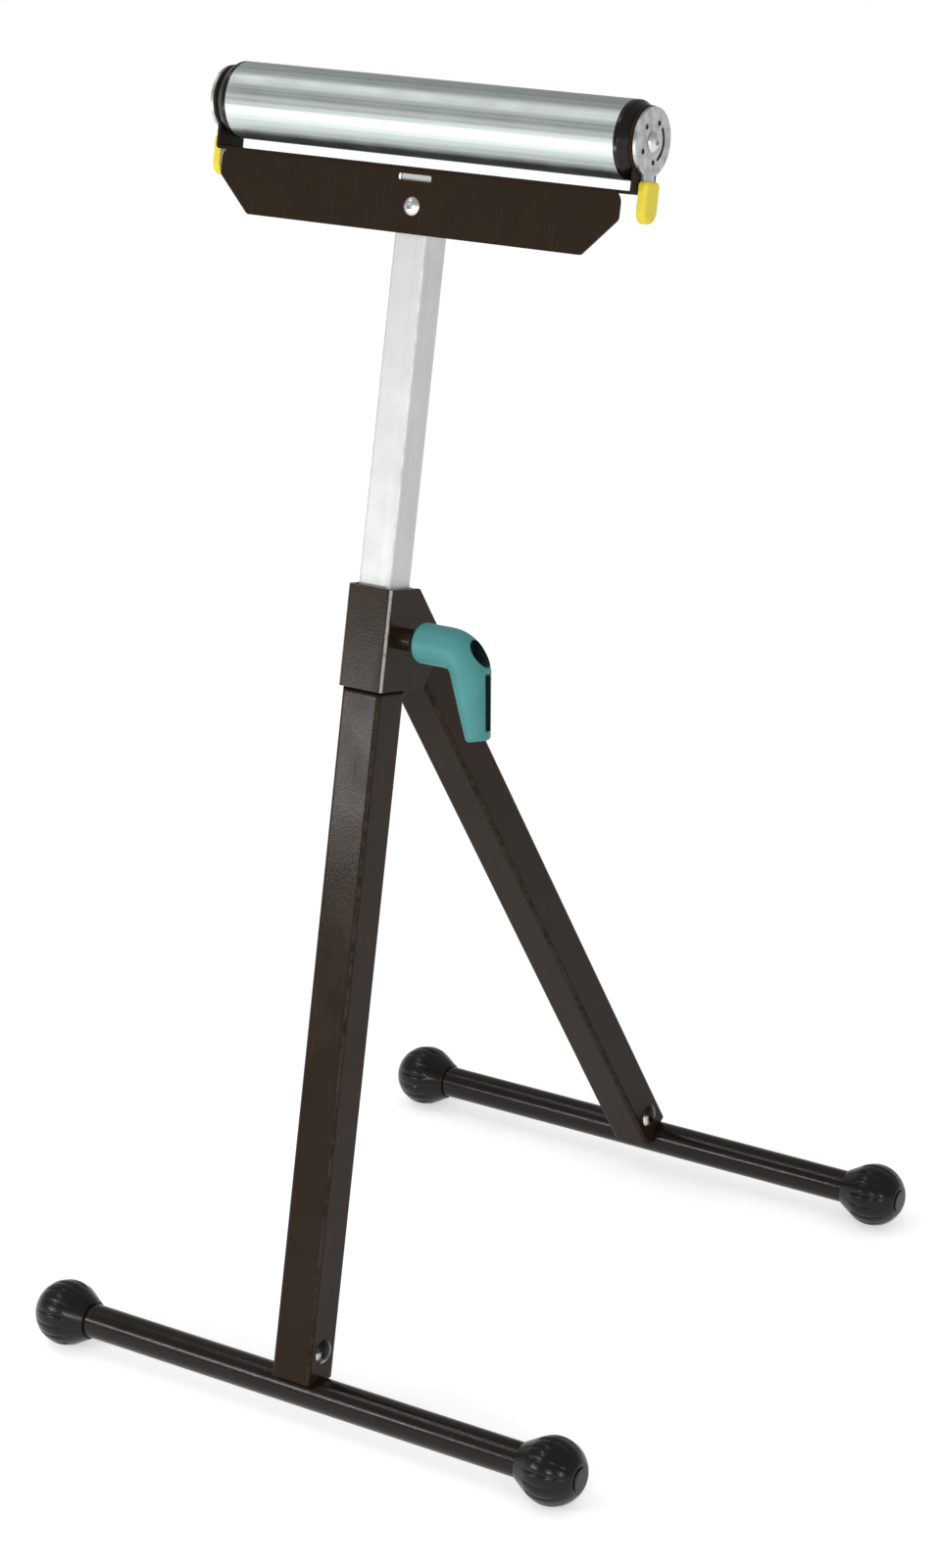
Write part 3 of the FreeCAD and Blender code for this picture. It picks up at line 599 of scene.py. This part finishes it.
def ring_skin(name, rings, finish, body):
    """Closed mesh through rings[i, j]; the first and last rings are each drawn to their middle point."""
    count, around = rings.shape[:2]
    first_middle = rings[:1].mean(axis=1)
    last_middle = rings[-1:].mean(axis=1)
    points = np.concatenate([first_middle, rings[1:-1].reshape(-1, 3), last_middle])
    here = np.arange(around)
    after = (here + 1) % around
    starts = 1 + around * np.arange(count - 3)[:, None]
    ends = starts + around
    walls = np.stack([starts + here, starts + after, ends + after, ends + here], axis=2)
    last = 1 + around * (count - 3)
    first_fan = np.stack([np.zeros(around, int), 1 + after, 1 + here], axis=1)
    last_fan = np.stack([last + here, last + after, np.full(around, len(points) - 1)], axis=1)
    mesh = bpy.data.meshes.new(name)
    faces = walls.reshape(-1, 4).tolist() + first_fan.tolist() + last_fan.tolist()
    mesh.from_pydata(points.tolist(), [], faces)
    mesh.polygons.foreach_set("use_smooth", np.ones(len(mesh.polygons), bool))
    mesh.set_sharp_from_angle(angle=crease_angle)
    mesh.materials.append(finish)
    piece = bpy.data.objects.new(name, mesh)
    bpy.context.scene.collection.objects.link(piece)
    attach(piece, body)
    return piece


def turn_profile(along, radius, turns):
    """Rings about X: height along the axis and a radius that may change with the turn."""
    radius = np.broadcast_to(radius, (len(along), len(turns)))
    along = np.broadcast_to(along[:, None], radius.shape)
    return np.stack([along, radius * np.cos(turns), radius * np.sin(turns)], axis=2)


print("ring skins ready")

# %% [markdown]
# ## Fluted ball feet
# Each bar ends in a moulded ball. The real moulding has a skirt that runs onto the bar, a flat
# button on the outer pole and narrow flutes from one to the other. A profile carried round the
# bar's axis gives the ball; the flutes are a narrow wave of the turn, taken off the radius: they
# are deepest near the skirt and fade out toward the button. The ball stands on the floor, so
# whatever would reach below it is pressed flat.

# %% Ball feet
ball_radius = 0.0230
bar_radius = 0.0120
bar_grip = 0.0080
skirt_end = 0.0225
skirt_radius = 0.0135
pole_face = 0.0204
button_radius = 0.0085
button_face = 0.0216
button_round = 0.0006
button_rim = 0.0010
bore_rings = 7
ball_rings = 60
bend_rings = 5
flute_count = 16
flute_depth = 0.0011
flute_rise = 0.10
flute_power = 6
points_per_flute = 12


def ball_profile():
    """Half outline from the bore's bottom over skirt, ball and button.

    The ball starts where a line from the skirt's rim touches it. Gives the distances along the bar, the
    radii and the flutes' depth, which rises from the skirt and falls evenly to nothing at the button.
    """
    skirt_turn = math.atan2(skirt_radius, skirt_end)
    tangent = skirt_turn + math.acos(ball_radius / math.hypot(skirt_end, skirt_radius))
    pole_turn = math.pi - math.acos(pole_face / ball_radius)
    sweep = np.linspace(tangent, pole_turn, ball_rings)
    bend = np.linspace(0, math.pi / 2, bend_rings)
    share = np.linspace(0, 1, ball_rings)
    fade = np.minimum(share / flute_rise, 1) * (1 - share)
    rounding = button_face - button_round * (1 - np.sin(bend))
    runs = [
        (np.full(3, bar_grip), np.array([0, 0.5, 1]) * bar_radius, 0),
        (np.linspace(bar_grip, -skirt_end, bore_rings + 1)[1:], bar_radius, 0),
        (np.full(2, -skirt_end), np.array([0.5 * (bar_radius + skirt_radius), skirt_radius]), 0),
        (-ball_radius * np.cos(sweep), ball_radius * np.sin(sweep), flute_depth * fade),
        (np.full(2, pole_face), np.array([button_radius + button_rim, button_radius]), 0),
        (rounding, button_radius - button_round * (1 - np.cos(bend)), 0),
        (np.full(2, button_face), np.array([0.5, 0]) * button_radius, 0),
    ]
    return np.concatenate([np.broadcast_arrays(*run) for run in runs], axis=1)


def ball_foot(node, body):
    """Fluted ball in place of a plain one: radius less depth times a high power of a raised cosine."""
    low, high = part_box(node)
    side = 1 if low.x > 0 else -1
    turns = np.linspace(0, 2 * math.pi, flute_count * points_per_flute, endpoint=False)
    along, radius, depth = ball_profile()
    groove = (0.5 + 0.5 * np.cos(flute_count * turns)) ** flute_power
    rings = turn_profile(along, radius[:, None] - depth[:, None] * groove, turns)
    rings[..., :2] *= side
    outer = max(abs(low.x), abs(high.x))
    rings = rings + np.array([side * (outer - button_face), 0.5 * (low.y + high.y), high.z - ball_radius])
    rings[..., 2] = np.maximum(rings[..., 2], 0.0)
    foot = ring_skin("fluted_" + node, rings, black_moulding, body)
    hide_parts(node)
    return foot


for bar, body in (("front", "base"), ("rear", "rear_leg")):
    for side in ("left", "right"):
        foot = ball_foot(f"{bar}_{side}_ball_foot", body)
        print(foot.name, "faces:", len(foot.data.polygons))

# %% [markdown]
# ## Threaded stud
# Between boss and lever a few turns of the clamp's thread show. A thread is a screw surface: its
# radius rises and falls along the axis like the teeth of a saw, and the teeth move on by one pitch
# in a full turn. So the radius is a triangle wave of the distance less the turn, and no helix has
# to be swept.

# %% Threaded stud
thread_pitch = 0.00125
thread_crest = 0.0040
thread_root = 0.0034
tip_radius = 0.0025
rings_per_pitch = 10
points_per_turn = 48


def threaded_stud():
    """Stud with a plain tip: radius from root to crest by a triangle wave of x / pitch - turn / 2 pi."""
    low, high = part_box("clamp_stud")
    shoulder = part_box("pivot_collar")[1].x
    turns = np.linspace(0, 2 * math.pi, points_per_turn, endpoint=False)
    tip = np.array([low.x, low.x, shoulder])
    thread = np.arange(shoulder, high.x, thread_pitch / rings_per_pitch)
    along = np.concatenate([tip, thread, np.full(2, high.x)])
    phase = np.mod(along[:, None] / thread_pitch - turns / (2 * math.pi), 1.0)
    radius = thread_root + (thread_crest - thread_root) * np.abs(2 * phase - 1)
    radius[:3] = np.array([0, tip_radius, tip_radius])[:, None]
    radius[-2:] = np.array([thread_root, 0])[:, None]
    rings = turn_profile(along, radius, turns)
    rings = rings + np.array([0, 0.5 * (low.y + high.y), 0.5 * (low.z + high.z)])
    stud = ring_skin("threaded_clamp_stud", rings, bolt_zinc, "clamp_handle")
    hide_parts("clamp_stud")
    return stud


stud = threaded_stud()
print(stud.name, "faces:", len(stud.data.polygons))

# %% [markdown]
# ## Floor
# The stand is shown on a plain white floor. It is a pale diffuse sheet that also glows a little for
# the camera and for mirrors, so it reads white but still takes a soft shadow. Stronger lamps would
# make it white too, but the zinc would then lose its lines.

# %% Floor
floor_reach = 16.0
floor_drop = 0.0002
floor_glow = 0.48
floor_dark = paint(0.84, 0.84, 0.84)
floor_light = paint(0.87, 0.87, 0.87)
white = paint(1, 1, 1)


def seen(tree):
    """1 for rays from the camera, from mirrors and through glass, 0 for the rest."""
    rays = put(tree, "LightPath").outputs
    mirrored = calc(tree, "MAXIMUM", rays["Is Glossy Ray"], rays["Is Transmission Ray"])
    return calc(tree, "MAXIMUM", rays["Is Camera Ray"], mirrored)


def pale_floor():
    """White floor: diffuse, with a glow for camera, glossy and transmitted rays."""
    finish = bpy.data.materials.new("pale_floor")
    finish.use_nodes = True
    tree = finish.node_tree
    tree.nodes.clear()
    place = put(tree, "TexCoord").outputs["Object"]
    tone = tint(tree, cloud(tree, place, 3, 4), floor_dark, floor_light)
    sheet = put(tree, "BsdfDiffuse", {"Color": tone})
    strength = calc(tree, "MULTIPLY", seen(tree), floor_glow)
    glow = put(tree, "Emission", {"Color": white, "Strength": strength})
    both = put(tree, "AddShader", {0: sheet.outputs["BSDF"], 1: glow.outputs["Emission"]})
    put(tree, "OutputMaterial", {"Surface": both.outputs["Shader"]})
    return finish


floor_corners = np.array([[-1, -1, 0], [1, -1, 0], [1, 1, 0], [-1, 1, 0]]) * floor_reach
floor_corners[:, 2] = -floor_drop
floor_mesh = bpy.data.meshes.new("floor")
floor_mesh.from_pydata(floor_corners.tolist(), [], [[0, 1, 2, 3]])
floor_mesh.materials.append(pale_floor())
floor = bpy.data.objects.new("floor", floor_mesh)
bpy.context.scene.collection.objects.link(floor)
print("floor reaches", floor_reach, "m each way")

# %% [markdown]
# ## Soft boxes
# Glossy paint and zinc show what stands round them, so each lamp is placed for the shine that it
# leaves. A low strip near the front left is mirrored by the leg's top, the collar, the mast and the
# roller. A long strip overhead gives the roller its upper line. A box on the right and a small one
# in front are the highlights on the balls. A lamp's power is its brightness times its area times
# pi, so that a strip can change its size and keep its brightness.

# %% Soft boxes
aim_point = Vector((0, -0.05, 0.50))


def soft_box(name, left, height, distance, width, tall, radiance):
    """Rectangular lamp that faces the stand; angles left of the front and above the floor, in degrees."""
    turn = math.radians(left)
    rise = math.radians(height)
    away = Vector((-math.sin(turn) * math.cos(rise), -math.cos(turn) * math.cos(rise), math.sin(rise)))
    lamp = bpy.data.lights.new(name, "AREA")
    lamp.shape = "RECTANGLE"
    lamp.size = width
    lamp.size_y = tall
    lamp.energy = radiance * math.pi * width * tall
    box = bpy.data.objects.new(name, lamp)
    box.location = aim_point + distance * away
    box.rotation_euler = away.to_track_quat("Z", "Y").to_euler()
    bpy.context.scene.collection.objects.link(box)
    return box


boxes = [
    soft_box("key_box", left=30.8, height=-0.7, distance=1.37, width=0.50, tall=0.12, radiance=26.0),
    soft_box("top_box", left=66, height=58, distance=3.0, width=1.6, tall=0.15, radiance=11.0),
    soft_box("side_box", left=-57, height=8, distance=3.2, width=0.2, tall=0.6, radiance=30.0),
    soft_box("front_box", left=-18, height=12, distance=3.2, width=0.45, tall=0.25, radiance=50.0),
]
print("lamps:", [box.name for box in boxes])

# %% [markdown]
# ## Sky
# A white room lights every side evenly. One plain level would do that too, but then the zinc would
# mirror a blank room and look like card. So mirrors see a white horizon that fades to a grey
# ceiling, and the other surfaces get one even level.

# %% Sky
even_level = 0.60
horizon_level = 1.0
ceiling_level = 0.45
fade_start = 0.03
fade_end = 0.17


def studio_sky():
    """Even dim light for the surfaces; mirrors see a white horizon that fades to a grey ceiling."""
    world = bpy.data.worlds.new("studio_sky")
    world.use_nodes = True
    tree = world.node_tree
    tree.nodes.clear()
    direction = put(tree, "TexCoord").outputs["Generated"]
    height = put(tree, "SeparateXYZ", {"Vector": direction}).outputs["Z"]
    mirrored = span(tree, height, fade_start, fade_end, horizon_level, ceiling_level)
    level = put(tree, "Mix", {0: seen(tree), 2: even_level, 3: mirrored}, data_type="FLOAT").outputs[0]
    sky = put(tree, "Background", {"Color": white, "Strength": level})
    put(tree, "OutputWorld", {"Surface": sky.outputs["Background"]})
    return world


bpy.context.scene.world = studio_sky()
bpy.context.scene.view_settings.view_transform = "Standard"
print("sky:", bpy.context.scene.world.name)

# %% [markdown]
# ## Camera
# The place and the angles of the camera come from fitting the stand's known points to the
# photograph: feet, roller ends, collar corners. The frame is taller than wide, so the lens is set
# against the picture's height.

# %% Camera
camera_place = Vector((1.26769, -1.94300, 1.25838))
camera_yaw = 0.58006
camera_pitch = 0.36031
camera_roll = -0.014548
film_height = 24.0
focal_length = 55.149
far_limit = 100.0

lens = bpy.data.cameras.new("photo_camera")
lens.sensor_fit = "VERTICAL"
lens.sensor_height = film_height
lens.lens = focal_length
lens.clip_end = far_limit
camera = bpy.data.objects.new("photo_camera", lens)
turn = Matrix.Rotation(camera_yaw, 3, "Z") @ Matrix.Rotation(math.pi / 2 - camera_pitch, 3, "X")
camera.rotation_euler = (turn @ Matrix.Rotation(camera_roll, 3, "Z")).to_euler()
camera.location = camera_place
bpy.context.scene.collection.objects.link(camera)
bpy.context.scene.camera = camera
print("camera at", tuple(round(part, 3) for part in camera_place))
